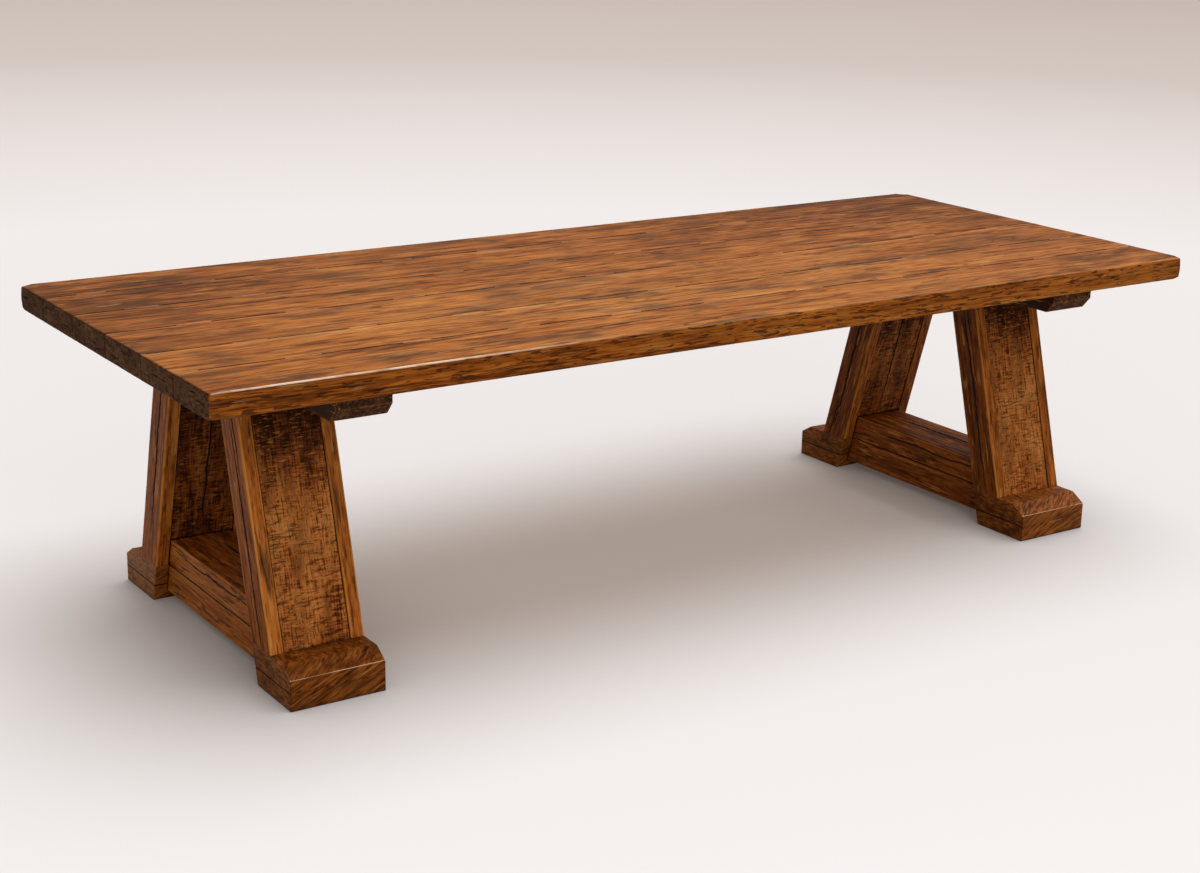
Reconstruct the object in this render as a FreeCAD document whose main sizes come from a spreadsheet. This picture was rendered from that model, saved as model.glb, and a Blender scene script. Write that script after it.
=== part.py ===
import FreeCAD, Part
import os
import Sketcher

# A plank dining table on two A-shaped trestles.
# X runs along the table, Y across it with the front at -Y, and Z up from the floor.
# The origin lies on the floor under the middle of the top.

# Driving dimensions in millimetres, and the lean of the legs in degrees
SIZES = {
    "table_height": 762,
    # tabletop
    "top_length": 2810,
    "top_thickness": 58,
    "board_1_width": 180,
    "board_2_width": 176,
    "board_3_width": 209,
    "board_4_width": 203,
    "board_5_width": 196,
    "board_6_width": 166,
    "top_corner_radius": 8,
    "top_arris_bevel": 3,
    # loose tongues in the board joints
    "tongue_width": 30,
    "tongue_thickness": 12,
    "tongue_setback": 90,
    "tongue_edge_gap": 0.5,
    # legs
    "end_overhang": 201.5,
    "leg_lean": 15.5,
    "leg_spread": 376,
    "stile_width": 34,
    "panel_width": 163,
    "panel_thickness": 44.5,
    "panel_recess": 3,
    # feet
    "foot_height": 96,
    "foot_lower_height": 42,
    "foot_reach": 475,
    "foot_bevel_run": 41,
    "foot_bevel_drop": 24,
    # beams
    "beam_floor_gap": 22,
    "beam_upper_height": 68,
    # bearers
    "bearer_width": 137,
    "bearer_height": 60,
    "bearer_reach": 521,
    "bearer_bevel_run": 25,
    "bearer_bevel_drop": 29,
    # tenons
    "foot_tenon_thickness": 14,
    "foot_tenon_depth": 36,
    "foot_tenon_shoulder": 20,
    "bearer_tenon_thickness": 14,
    "bearer_tenon_width": 50,
    "bearer_tenon_height": 30,
    "beam_tenon_width": 90,
    "beam_tenon_height": 26,
    "beam_tenon_depth": 30,
    "tenon_fit": 0.2,
    "tenon_end_gap": 2,
    # screws and washers that hold the top to the bearers
    "screw_diameter": 8,
    "screw_length": 75,
    "screw_head_radius": 7.5,
    "screw_head_height": 5.5,
    "screw_pilot_fit": 0.1,
    "screw_tip_gap": 2,
    "screw_hole_diameter": 12,
    "washer_diameter": 21,
    "washer_bore_fit": 0.25,
    "washer_thickness": 2,
    "counterbore_diameter": 24,
    "counterbore_depth": 24,
}

BOARD_COUNT = 6
HEAD_SIDES = 6
CUT_MARGIN = 5

doc = FreeCAD.newDocument("trestle_table")
sizes = doc.addObject("Spreadsheet::Sheet", "sizes")
for row, (alias, number) in enumerate(SIZES.items(), start=1):
    sizes.set(f"A{row}", alias)
    sizes.set(f"B{row}", str(number))
    sizes.setAlias(f"B{row}", alias)
doc.recompute()

pieces = []


# Sizes worked out from the driving ones, as formulas that the pieces are bound to
TOP_UNDERSIDE = "(sizes.table_height - sizes.top_thickness)"
BEARER_UNDERSIDE = f"({TOP_UNDERSIDE} - sizes.bearer_height)"
LEG_DEPTH = "(2 * (sizes.panel_thickness + sizes.panel_recess))"
LEG_WIDTH = "(2 * sizes.stile_width + sizes.panel_width)"
TRESTLE_X = f"(sizes.top_length / 2 - sizes.end_overhang - {LEG_WIDTH} / 2)"
LEG_INNER_X = f"({TRESTLE_X} - {LEG_WIDTH} / 2)"
STILE_OFFSET = "((sizes.panel_width + sizes.stile_width) / 2)"
BEARER_X = f"({LEG_INNER_X} + sizes.bearer_width / 2)"
BEAM_TOP = "(sizes.foot_height + sizes.beam_upper_height)"
SCREW_SEAT = f"({BEARER_UNDERSIDE} + sizes.counterbore_depth - sizes.washer_thickness)"
SCREW_TIP = f"({SCREW_SEAT} + sizes.screw_length)"
TOP_WIDTH = "(" + " + ".join(f"sizes.board_{i}_width" for i in range(1, BOARD_COUNT + 1)) + ")"
TONGUE_LENGTH = "(sizes.top_length - 2 * sizes.tongue_setback)"


def seam(number):
    """Y of the joint behind that many boards, counted from the front edge."""
    boards = "".join(f" + sizes.board_{i}_width" for i in range(1, number + 1))
    return f"(-{TOP_WIDTH} / 2{boards})"


def board_middle(number):
    return f"({seam(number - 1)} + sizes.board_{number}_width / 2)"


def leg_line(height, inset):
    """Distance from the table's middle to a line along the leg, set in from its outer face, at a height."""
    rise = f"(sizes.foot_height - ({height})) * tan(sizes.leg_lean)"
    return f"(sizes.leg_spread + {rise} - ({inset}) / cos(sizes.leg_lean))"


def measure(formula):
    return sizes.evalExpression(formula)


# Tools that draw and cut
def new_body(label, x="0"):
    body = doc.addObject("PartDesign::Body", label)
    body.Label = label
    body.setExpression("Placement.Base.x", x)
    pieces.append(body)
    return body


def new_sketch(body, name, role, offset="0"):
    """Empty sketch on one of the body's own planes, moved off it along its normal."""
    sketch = body.newObject("Sketcher::SketchObject", name)
    plane = next(feature for feature in body.Origin.OriginFeatures if feature.Role == role)
    sketch.AttachmentSupport = [(plane, "")]
    sketch.MapMode = "FlatFace"
    sketch.setExpression("AttachmentOffset.Base.z", offset)
    return sketch


def tie(sketch, name, kind, formula, *geometry):
    """Dimension in a sketch, bound to the sheet."""
    index = sketch.addConstraint(Sketcher.Constraint(kind, *geometry, measure(formula)))
    sketch.renameConstraint(index, name)
    sketch.setExpression(f"Constraints.{name}", formula)


def draw_outline(sketch, corners):
    """Closed outline with straight sides, each corner dimensioned from the sketch's origin."""
    first = sketch.GeometryCount
    points = [FreeCAD.Vector(measure(across), measure(up), 0) for across, up in corners]
    for start, end in zip(points, points[1:] + points[:1]):
        sketch.addGeometry(Part.LineSegment(start, end))
    for i, (across, up) in enumerate(corners):
        line = first + i
        following = first + (i + 1) % len(corners)
        sketch.addConstraint(Sketcher.Constraint("Coincident", line, 2, following, 1))
        tie(sketch, f"across_{line}", "DistanceX", across, -1, 1, line, 1)
        tie(sketch, f"up_{line}", "DistanceY", up, -1, 1, line, 1)


def draw_circles(sketch, centres, diameter):
    normal = FreeCAD.Vector(0, 0, 1)
    for i, (x, y) in enumerate(centres):
        centre = FreeCAD.Vector(measure(x), measure(y), 0)
        sketch.addGeometry(Part.Circle(centre, normal, measure(diameter) / 2))
        tie(sketch, f"x_{i}", "DistanceX", x, -1, 1, i, 3)
        tie(sketch, f"y_{i}", "DistanceY", y, -1, 1, i, 3)
        tie(sketch, f"diameter_{i}", "Diameter", diameter, i)


def pad_both_ways(body, sketch, length):
    pad = body.newObject("PartDesign::Pad", f"{sketch.Name}_pad")
    pad.Profile = sketch
    pad.SideType = "Symmetric"
    pad.setExpression("Length", length)
    return pad


def cut(body, sketch, length, symmetric=True):
    """Pocket that has to take material away, both ways from the sketch or along its normal."""
    before = solid_volume(body)
    pocket = body.newObject("PartDesign::Pocket", f"{sketch.Name}_cut")
    pocket.Profile = sketch
    pocket.SideType = "Symmetric" if symmetric else "One side"
    pocket.Reversed = not symmetric
    pocket.setExpression("Length", length)
    if solid_volume(body) >= before:
        raise RuntimeError(f"{pocket.Name} takes nothing away")
    return pocket


def solid_volume(body):
    doc.recompute()
    return body.Shape.Volume


def dress_edges(body, kind, name, dimension, formula, wanted):
    """Fillet or chamfer on the edges of the body that the test picks by their bounding box."""
    doc.recompute()
    base = body.Tip
    edges = [f"Edge{i}" for i, edge in enumerate(base.Shape.Edges, start=1) if wanted(edge.BoundBox)]
    dressing = body.newObject(f"PartDesign::{kind}", name)
    dressing.Base = (base, edges)
    dressing.setExpression(dimension, formula)
    return dressing


def side_profile(body, name, corners, thickness, offset="0"):
    """Outline seen from the table's end, carried along X half each way."""
    sketch = new_sketch(body, name, "YZ_Plane", offset)
    draw_outline(sketch, corners)
    return pad_both_ways(body, sketch, thickness)


def cut_side_profile(body, name, corners, thickness, offset="0"):
    sketch = new_sketch(body, name, "YZ_Plane", offset)
    draw_outline(sketch, corners)
    return cut(body, sketch, thickness)


def box_corners(low_across, low_up, high_across, high_up):
    return [(low_across, low_up), (high_across, low_up), (high_across, high_up), (low_across, high_up)]


def screw_places(bearer_side):
    """Centres of the screws of one bearer, one in the middle of each board."""
    return [(f"{bearer_side} * {BEARER_X}", board_middle(i)) for i in range(1, BOARD_COUNT + 1)]


# Tabletop
def tongue_corners(joint, edge_gap):
    """Section of the tongue in a joint, or of its groove where the gap at its edges is added."""
    half_width = f"(sizes.tongue_width / 2 + {edge_gap})"
    middle = f"({TOP_UNDERSIDE} + sizes.top_thickness / 2)"
    return box_corners(
        f"{seam(joint)} - {half_width}", f"{middle} - sizes.tongue_thickness / 2",
        f"{seam(joint)} + {half_width}", f"{middle} + sizes.tongue_thickness / 2",
    )


def make_top_board(number):
    board = new_body(f"top_board_{number}")
    section = box_corners(seam(number - 1), TOP_UNDERSIDE, seam(number), "sizes.table_height")
    side_profile(board, f"board_{number}_section", section, "sizes.top_length")
    for joint in (number - 1, number):
        if 0 < joint < BOARD_COUNT:
            groove = tongue_corners(joint, "sizes.tongue_edge_gap")
            cut_side_profile(board, f"board_{number}_groove_{joint}", groove, TONGUE_LENGTH)
    pilots = new_sketch(board, f"board_{number}_pilots", "XY_Plane", TOP_UNDERSIDE)
    draw_circles(
        pilots,
        [(f"{side} * {BEARER_X}", board_middle(number)) for side in (-1, 1)],
        "sizes.screw_diameter + 2 * sizes.screw_pilot_fit",
    )
    cut(board, pilots, f"{SCREW_TIP} - {TOP_UNDERSIDE} + sizes.screw_tip_gap", symmetric=False)
    if number == 1:
        round_outer_corners(board, number, measure(seam(0)))
    if number == BOARD_COUNT:
        round_outer_corners(board, number, measure(seam(BOARD_COUNT)))
    bevel_top_arris(board, number)


def round_outer_corners(board, number, edge_y):
    def is_corner(box):
        return box.ZLength > measure("sizes.top_thickness") - 0.01 and abs(box.YMin - edge_y) < 0.01

    dress_edges(board, "Fillet", f"board_{number}_corners", "Radius", "sizes.top_corner_radius", is_corner)


def bevel_top_arris(board, number):
    """Eases the top edges on the table's outside: the two ends, and the long edge of an outer board."""
    inner_joints = [measure(seam(i)) for i in range(1, BOARD_COUNT)]

    def is_outer_arris(box):
        on_top = box.ZMin > measure("sizes.table_height") - 0.01
        on_joint = box.YLength < 0.01 and any(abs(box.YMin - y) < 0.01 for y in inner_joints)
        return on_top and not on_joint

    dress_edges(board, "Chamfer", f"board_{number}_arris", "Size", "sizes.top_arris_bevel", is_outer_arris)


def make_top_tongue(joint):
    tongue = new_body(f"top_tongue_{joint}")
    side_profile(tongue, f"tongue_{joint}_section", tongue_corners(joint, "0"), TONGUE_LENGTH)


# Legs
def leaning_corners(facing, bottom, top, outer_inset, inner_inset):
    """Outline of a board that leans with the leg, with level ends."""
    return [
        (f"{facing} * {leg_line(bottom, outer_inset)}", bottom),
        (f"{facing} * {leg_line(top, outer_inset)}", top),
        (f"{facing} * {leg_line(top, inner_inset)}", top),
        (f"{facing} * {leg_line(bottom, inner_inset)}", bottom),
    ]


def foot_tenon_corners(facing, fit, end_gap):
    bottom = f"(sizes.foot_height - sizes.foot_tenon_depth - {end_gap})"
    shoulder = f"(sizes.foot_tenon_shoulder - {fit})"
    return leaning_corners(facing, bottom, "sizes.foot_height", shoulder, f"({LEG_DEPTH} - {shoulder})")


def bearer_tenon_corners(facing, fit, end_gap):
    middle = f"{facing} * {leg_line(BEARER_UNDERSIDE, LEG_DEPTH + ' / 2')}"
    half_width = f"(sizes.bearer_tenon_width / 2 + {fit})"
    tip = f"({BEARER_UNDERSIDE} + sizes.bearer_tenon_height + {end_gap})"
    return box_corners(f"{middle} - {half_width}", BEARER_UNDERSIDE, f"{middle} + {half_width}", tip)


def beam_tenon_tip(middle_height, face_inset):
    return f"({leg_line(middle_height, face_inset)} + sizes.beam_tenon_depth)"


def make_stile(leg, facing, side, position):
    """Post at one edge of a leg. The inboard one stops under the bearer and is tenoned into it."""
    inboard = position == "inboard"
    x = f"{side} * ({TRESTLE_X} {'-' if inboard else '+'} {STILE_OFFSET})"
    stile = new_body(f"{leg}_{position}_stile", x)
    top = BEARER_UNDERSIDE if inboard else TOP_UNDERSIDE
    post = leaning_corners(facing, "sizes.foot_height", top, "0", LEG_DEPTH)
    side_profile(stile, f"{stile.Name}_post", post, "sizes.stile_width")
    foot_tenon = foot_tenon_corners(facing, "0", "0")
    side_profile(stile, f"{stile.Name}_foot_tenon", foot_tenon, "sizes.foot_tenon_thickness")
    if inboard:
        bearer_tenon = bearer_tenon_corners(facing, "0", "0")
        side_profile(stile, f"{stile.Name}_bearer_tenon", bearer_tenon, "sizes.bearer_tenon_thickness")


def make_panel(leg, facing, side, position):
    """Wide board between the stiles, set back from their faces and notched round the bearer."""
    panel = new_body(f"{leg}_{position}_panel", f"{side} * {TRESTLE_X}")
    if position == "outer":
        near, far = "sizes.panel_recess", f"({LEG_DEPTH} / 2)"
    else:
        near, far = f"({LEG_DEPTH} / 2)", f"({LEG_DEPTH} - sizes.panel_recess)"
    board = leaning_corners(facing, "sizes.foot_height", TOP_UNDERSIDE, near, far)
    side_profile(panel, f"{panel.Name}_board", board, "sizes.panel_width")
    notch = new_sketch(panel, f"{panel.Name}_notch", "XZ_Plane")
    bearer_outer_x = f"({LEG_INNER_X} + sizes.bearer_width - {TRESTLE_X})"
    draw_outline(notch, box_corners(
        f"{side} * (-sizes.panel_width / 2 - {CUT_MARGIN})", BEARER_UNDERSIDE,
        f"{side} * {bearer_outer_x}", f"({TOP_UNDERSIDE} + {CUT_MARGIN})",
    ))
    cut(panel, notch, "2 * sizes.bearer_reach")
    if position == "inner":
        height = f"({BEAM_TOP} + sizes.foot_height) / 2"
        cut_beam_mortise(panel, facing, height, f"({LEG_DEPTH} - sizes.panel_recess)")


def cut_beam_mortise(body, facing, height, face_inset):
    """Socket for a beam's tenon, cut outwards from the inner face that the beam meets."""
    half_height = "(sizes.beam_tenon_height / 2 + sizes.tenon_fit)"
    mouth = f"{facing} * {leg_line(f'({height}) + sizes.beam_tenon_height', face_inset)}"
    bottom = f"{facing} * ({beam_tenon_tip(height, face_inset)} + sizes.tenon_end_gap)"
    corners = box_corners(mouth, f"({height}) - {half_height}", bottom, f"({height}) + {half_height}")
    width = "sizes.beam_tenon_width + 2 * sizes.tenon_fit"
    cut_side_profile(body, f"{body.Name}_beam_mortise", corners, width)


def make_leg(leg, facing, side):
    for position in ("outboard", "inboard"):
        make_stile(leg, facing, side, position)
    for position in ("outer", "inner"):
        make_panel(leg, facing, side, position)


# Feet
def foot_inner(height):
    return leg_line(height, LEG_DEPTH)


def make_foot(foot, facing, side):
    """Two layers under a leg, with a bevelled toe and an inner end that carries on the lean of the leg."""
    toe = f"{facing} * sizes.foot_reach"
    seam_height = "sizes.foot_lower_height"
    top = "sizes.foot_height"
    lower = new_body(f"{foot}_lower", f"{side} * {TRESTLE_X}")
    side_profile(lower, f"{foot}_lower_profile", [
        (toe, "0"),
        (toe, seam_height),
        (f"{facing} * {foot_inner(seam_height)}", seam_height),
        (f"{facing} * {foot_inner('0')}", "0"),
    ], LEG_WIDTH)
    upper = new_body(f"{foot}_upper", f"{side} * {TRESTLE_X}")
    side_profile(upper, f"{foot}_upper_profile", [
        (toe, seam_height),
        (toe, f"{top} - sizes.foot_bevel_drop"),
        (f"{facing} * (sizes.foot_reach - sizes.foot_bevel_run)", top),
        (f"{facing} * {foot_inner(top)}", top),
        (f"{facing} * {foot_inner(seam_height)}", seam_height),
    ], LEG_WIDTH)
    mortise = foot_tenon_corners(facing, "sizes.tenon_fit", "sizes.tenon_end_gap")
    mortise_thickness = "sizes.foot_tenon_thickness + 2 * sizes.tenon_fit"
    for name, offset in (("low_x", f"-{STILE_OFFSET}"), ("high_x", STILE_OFFSET)):
        cut_side_profile(upper, f"{foot}_mortise_{name}", mortise, mortise_thickness, offset)
    cut_beam_mortise(upper, facing, f"({seam_height} + {top}) / 2", LEG_DEPTH)


# Beams
def make_beam(beam, side):
    """Two layers between the legs: the lower one meets the feet, the upper one the panels of the legs."""
    layers = (
        ("lower", "sizes.beam_floor_gap", "sizes.foot_height", LEG_DEPTH,
         "(sizes.foot_lower_height + sizes.foot_height) / 2"),
        ("upper", "sizes.foot_height", BEAM_TOP, f"({LEG_DEPTH} - sizes.panel_recess)",
         f"({BEAM_TOP} + sizes.foot_height) / 2"),
    )
    for layer, bottom, top, face_inset, tenon_height in layers:
        body = new_body(f"{beam}_{layer}", f"{side} * {TRESTLE_X}")
        side_profile(body, f"{beam}_{layer}_profile", [
            (f"-{leg_line(bottom, face_inset)}", bottom),
            (leg_line(bottom, face_inset), bottom),
            (leg_line(top, face_inset), top),
            (f"-{leg_line(top, face_inset)}", top),
        ], "sizes.panel_width")
        tip = beam_tenon_tip(tenon_height, face_inset)
        half_height = "sizes.beam_tenon_height / 2"
        side_profile(body, f"{beam}_{layer}_tenons", box_corners(
            f"-{tip}", f"({tenon_height}) - {half_height}", tip, f"({tenon_height}) + {half_height}",
        ), "sizes.beam_tenon_width")


# Bearers
def make_bearer(label, side):
    """Bar under the top, let into the legs, with the lower corners of its ends bevelled off."""
    bearer = new_body(label, f"{side} * {BEARER_X}")
    end = "sizes.bearer_reach"
    bevel_start = f"({end} - sizes.bearer_bevel_run)"
    bevel_top = f"({BEARER_UNDERSIDE} + sizes.bearer_bevel_drop)"
    side_profile(bearer, f"{label}_profile", [
        (f"-{end}", TOP_UNDERSIDE),
        (f"-{end}", bevel_top),
        (f"-{bevel_start}", BEARER_UNDERSIDE),
        (bevel_start, BEARER_UNDERSIDE),
        (end, bevel_top),
        (end, TOP_UNDERSIDE),
    ], "sizes.bearer_width")
    stile_x = f"{side} * (sizes.stile_width - sizes.bearer_width) / 2"
    mortise_thickness = "sizes.bearer_tenon_thickness + 2 * sizes.tenon_fit"
    for name, facing in (("front", -1), ("back", 1)):
        mortise = bearer_tenon_corners(facing, "sizes.tenon_fit", "sizes.tenon_end_gap")
        cut_side_profile(bearer, f"{label}_mortise_{name}", mortise, mortise_thickness, stile_x)
    centres = [("0", y) for x, y in screw_places(side)]
    for name, diameter, depth in (
        ("counterbores", "sizes.counterbore_diameter", "sizes.counterbore_depth"),
        ("screw_holes", "sizes.screw_hole_diameter", "sizes.bearer_height"),
    ):
        holes = new_sketch(bearer, f"{label}_{name}", "XY_Plane", BEARER_UNDERSIDE)
        draw_circles(holes, centres, diameter)
        cut(bearer, holes, depth, symmetric=False)


# Screws and washers
def place(thing, x, y, z):
    for axis, formula in (("x", x), ("y", y), ("z", z)):
        thing.setExpression(f"Placement.Base.{axis}", formula)


def cylinder(name, radius, height, x, y, z):
    thing = doc.addObject("Part::Cylinder", name)
    thing.setExpression("Radius", radius)
    thing.setExpression("Height", height)
    place(thing, x, y, z)
    return thing


def make_screw(name, x, y):
    """Coach screw with its head down."""
    head = doc.addObject("Part::Prism", f"{name}_head")
    head.Polygon = HEAD_SIDES
    head.setExpression("Circumradius", "sizes.screw_head_radius")
    head.setExpression("Height", "sizes.screw_head_height")
    place(head, x, y, f"{SCREW_SEAT} - sizes.screw_head_height")
    shank = cylinder(f"{name}_shank", "sizes.screw_diameter / 2", "sizes.screw_length", x, y, SCREW_SEAT)
    screw = doc.addObject("Part::Fuse", name)
    screw.Base = head
    screw.Tool = shank
    return screw


def make_washer(name, x, y):
    disc = cylinder(f"{name}_disc", "sizes.washer_diameter / 2", "sizes.washer_thickness", x, y, SCREW_SEAT)
    bore = cylinder(
        f"{name}_bore", "sizes.screw_diameter / 2 + sizes.washer_bore_fit", "sizes.washer_thickness",
        x, y, SCREW_SEAT,
    )
    washer = doc.addObject("Part::Cut", name)
    washer.Base = disc
    washer.Tool = bore
    return washer


def make_group(label, maker):
    """One piece of the list that holds a separate solid for each screw place."""
    members = []
    for side, word in ((-1, "left"), (1, "right")):
        for number, (x, y) in enumerate(screw_places(side), start=1):
            members.append(maker(f"{label}_{word}_{number}", x, y))
    group = doc.addObject("Part::Compound", label)
    group.Label = label
    group.Links = members
    pieces.append(group)


# The whole table
for number in range(1, BOARD_COUNT + 1):
    make_top_board(number)
for joint in range(1, BOARD_COUNT):
    make_top_tongue(joint)
for side, side_word in ((-1, "left"), (1, "right")):
    make_bearer(f"bearer_{side_word}", side)
    make_beam(f"beam_{side_word}", side)
    for facing, face_word in ((-1, "front"), (1, "back")):
        make_leg(f"leg_{face_word}_{side_word}", facing, side)
        make_foot(f"foot_{face_word}_{side_word}", facing, side)
make_group("top_screws", make_screw)
make_group("top_washers", make_washer)
doc.recompute()

for thing in doc.Objects:
    if "Invalid" in thing.State or "Error" in thing.State:
        raise RuntimeError(f"{thing.Label} failed: {thing.State}")
for piece in pieces:
    if piece.Shape.isNull() or not piece.Shape.isValid():
        raise RuntimeError(f"{piece.Label} has no valid shape")

os.makedirs("parts", exist_ok=True)
for piece in pieces:
    piece.Shape.exportStep(f"parts/{piece.Label}.step")
print(len(pieces), "pieces")
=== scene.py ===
import math
import random
from collections import namedtuple

import bmesh
import bpy
import numpy as np
from mathutils import Matrix, Vector


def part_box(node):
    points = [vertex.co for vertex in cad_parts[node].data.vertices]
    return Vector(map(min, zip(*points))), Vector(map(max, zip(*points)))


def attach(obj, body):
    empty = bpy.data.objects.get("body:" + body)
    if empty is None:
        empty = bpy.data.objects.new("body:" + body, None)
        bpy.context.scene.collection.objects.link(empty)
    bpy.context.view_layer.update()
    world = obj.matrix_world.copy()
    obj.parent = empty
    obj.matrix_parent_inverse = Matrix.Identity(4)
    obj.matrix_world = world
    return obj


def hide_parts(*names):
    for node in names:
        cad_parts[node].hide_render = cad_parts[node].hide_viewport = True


# A plank dining table on two A-shaped trestles, in stained oak.
# X runs along the table, Y across it with the front at -Y, and Z up from the floor. Lengths are in metres.
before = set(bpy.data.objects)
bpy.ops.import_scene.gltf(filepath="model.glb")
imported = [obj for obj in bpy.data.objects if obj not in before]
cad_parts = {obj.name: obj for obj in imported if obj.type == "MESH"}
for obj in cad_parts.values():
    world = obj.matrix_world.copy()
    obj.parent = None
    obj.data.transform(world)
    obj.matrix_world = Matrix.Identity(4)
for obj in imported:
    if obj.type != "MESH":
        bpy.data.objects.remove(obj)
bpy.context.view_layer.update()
random.seed(7)

MM = 0.001
X, Y, Z = Vector((1, 0, 0)), Vector((0, 1, 0)), Vector((0, 0, 1))
ORIGIN = (0, 0, 0)
SIDES = (("left", -1), ("right", 1))
FACES = (("front", -1), ("back", 1))

# Sizes that the frame doesn't give
BOARD_COUNT = 6
TOP_CORNER_RADIUS = 12 * MM
LEG_LEAN = math.radians(15.5)
LEG_SPREAD = 376 * MM
LEG_DEPTH = 95 * MM
STILE_WIDTH = 34 * MM
PANEL_RECESS = 3 * MM
TOE_BEVEL = Vector((0, 41 * MM, 24 * MM))
BEARER_BEVEL = Vector((0, 25 * MM, 29 * MM))
BORE_RADIUS = 12 * MM
BORE_DEPTH = 24 * MM

# Widths of the edges eased by hand and by use
TOP_ARRIS = 3.6 * MM
JOINT_BEVEL = 3 * MM
STILE_ARRIS = 4.4 * MM
PANEL_ARRIS = 3 * MM
FOOT_ARRIS = 1.8 * MM
BEAM_ARRIS = 2 * MM

# How near to a flat, an edge or a seam a point still belongs to it
FLUSH = 1 * MM
EDGE_REACH = 4 * MM
STILE_EDGE_REACH = 5 * MM
SEAM_REACH = 3 * MM

# Waves that tools and years leave on a surface: their depth, and their lengths in X, Y and Z
TOP_WAVES = (0.7 * MM, (0.24, 0.06, 0.06))
STILE_WAVES = (0.8 * MM, (0.05, 0.05, 0.12))
TORN_FIBRES = (0.8 * MM, (0.009, 0.05, 0.035))
SAW_MARKS = (0.6 * MM, (0.05, 0.05, 0.006))
FOOT_WAVES = (0.7 * MM, (0.08, 0.06, 0.05))
BEAM_WAVES = (0.8 * MM, (0.05, 0.14, 0.05))

# Steps at which surfaces are divided, so that the waves have points to move
BOARD_STEP = 14 * MM
BOARD_EDGE_STEP = 12 * MM
STILE_STEP = 8 * MM
STILE_LENGTH_STEP = 9 * MM
PANEL_STEP = 3.5 * MM
BLOCK_STEP = 10 * MM
BEARER_STEP = 12 * MM

# Drying checks: their length, or the shortest and the longest, and their width and depth
END_CHECK_LENGTHS, END_CHECK_SECTION = (25 * MM, 70 * MM), (3.5 * MM, 8 * MM)
LONG_CHECK_LENGTHS, LONG_CHECK_SECTION = (460 * MM, 560 * MM), (8 * MM, 9 * MM)
SHORT_CHECK_LENGTHS, SHORT_CHECK_SECTION = (110 * MM, 170 * MM), (6 * MM, 6 * MM)
PANEL_CHECK_LENGTH, PANEL_CHECK_SECTION = 420 * MM, (6 * MM, 7 * MM)
BEAM_TOP_CHECK_LENGTH, BEAM_TOP_CHECK_SECTION = 420 * MM, (9 * MM, 9 * MM)
BEAM_SIDE_CHECK_LENGTH, BEAM_SIDE_CHECK_SECTION = 400 * MM, (5 * MM, 6 * MM)

# Places that several pieces share
LEG_LOW, LEG_HIGH = (corner.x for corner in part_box("foot_front_right_lower"))
TRESTLE_X = (LEG_LOW + LEG_HIGH) / 2
FOOT_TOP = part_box("foot_front_left_upper")[1].z
FOOT_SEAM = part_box("foot_front_left_lower")[1].z
TOP_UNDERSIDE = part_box("top_board_1")[0].z
BEARER_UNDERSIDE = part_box("bearer_left")[0].z
LEG_LENGTH = (TOP_UNDERSIDE - FOOT_TOP) / math.cos(LEG_LEAN)


# Tools for the piece that is open for editing
def new_block(name, low, high):
    """Starts a piece as a block between two corners and leaves it open for editing."""
    bpy.ops.object.select_all(action="DESELECT")
    bpy.ops.mesh.primitive_cube_add(size=1, enter_editmode=True)
    block = bpy.context.object
    block.name = name
    block.data.name = name
    bpy.ops.transform.resize(value=high - low)
    bpy.ops.transform.translate(value=(low + high) / 2)
    return block


def saw(point, normal):
    """Cuts off what lies beyond a plane and closes the cut."""
    bpy.ops.mesh.select_all(action="SELECT")
    bpy.ops.mesh.bisect(plane_co=point, plane_no=normal, use_fill=True, clear_outer=True)


def upright(run):
    return abs(run.z) > 0.9


def ease(width, segments, wanted=lambda middle, run: True):
    """Rounds over the sharp edges whose middle and direction pass the test."""
    sharp_angle = math.radians(20)
    bpy.ops.mesh.select_mode(type="EDGE")
    bpy.ops.mesh.select_all(action="DESELECT")
    mesh = bmesh.from_edit_mesh(bpy.context.object.data)
    for edge in mesh.edges:
        first, second = (vertex.co for vertex in edge.verts)
        sharp = edge.calc_face_angle(0) > sharp_angle
        edge.select_set(sharp and wanted((first + second) / 2, (second - first).normalized()))
    mesh.select_flush_mode()
    bmesh.update_edit_mesh(bpy.context.object.data)
    bpy.ops.mesh.bevel(offset=width, segments=segments, affect="EDGES")


def score(axis, spacing):
    """Divides the faces across an axis at even steps."""
    mesh = bmesh.from_edit_mesh(bpy.context.object.data)
    reach = [axis.dot(vertex.co) for vertex in mesh.verts]
    start, length = min(reach), max(reach) - min(reach)
    count = max(1, round(length / spacing))
    for i in range(1, count):
        bpy.ops.mesh.select_all(action="SELECT")
        bpy.ops.mesh.bisect(plane_co=axis * (start + length * i / count), plane_no=axis)


def knock_in(corner, push, reach):
    """Pushes a corner in as years of knocks do, least at the end of its reach."""
    bpy.ops.mesh.select_mode(type="VERT")
    bpy.ops.mesh.select_all(action="DESELECT")
    mesh = bmesh.from_edit_mesh(bpy.context.object.data)
    for vertex in mesh.verts:
        vertex.select_set((vertex.co - corner).length < reach / 2)
    mesh.select_flush_mode()
    bmesh.update_edit_mesh(bpy.context.object.data)
    bpy.ops.transform.translate(
        value=push, use_proportional_edit=True, proportional_edit_falloff="SMOOTH", proportional_size=reach,
    )


def close():
    bpy.ops.object.mode_set(mode="OBJECT")


# Tools for a closed piece
def pick(piece):
    bpy.ops.object.select_all(action="DESELECT")
    piece.select_set(True)
    bpy.context.view_layer.objects.active = piece


def move(piece, turn, axis, shift):
    """Turns a piece about an axis through the origin and then shifts it, inside its mesh."""
    pick(piece)
    bpy.ops.object.mode_set(mode="EDIT")
    bpy.ops.mesh.select_all(action="SELECT")
    # the operator counts its angle the other way round
    bpy.ops.transform.rotate(value=-turn, orient_axis=axis, center_override=ORIGIN)
    bpy.ops.transform.translate(value=shift)
    close()


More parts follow.
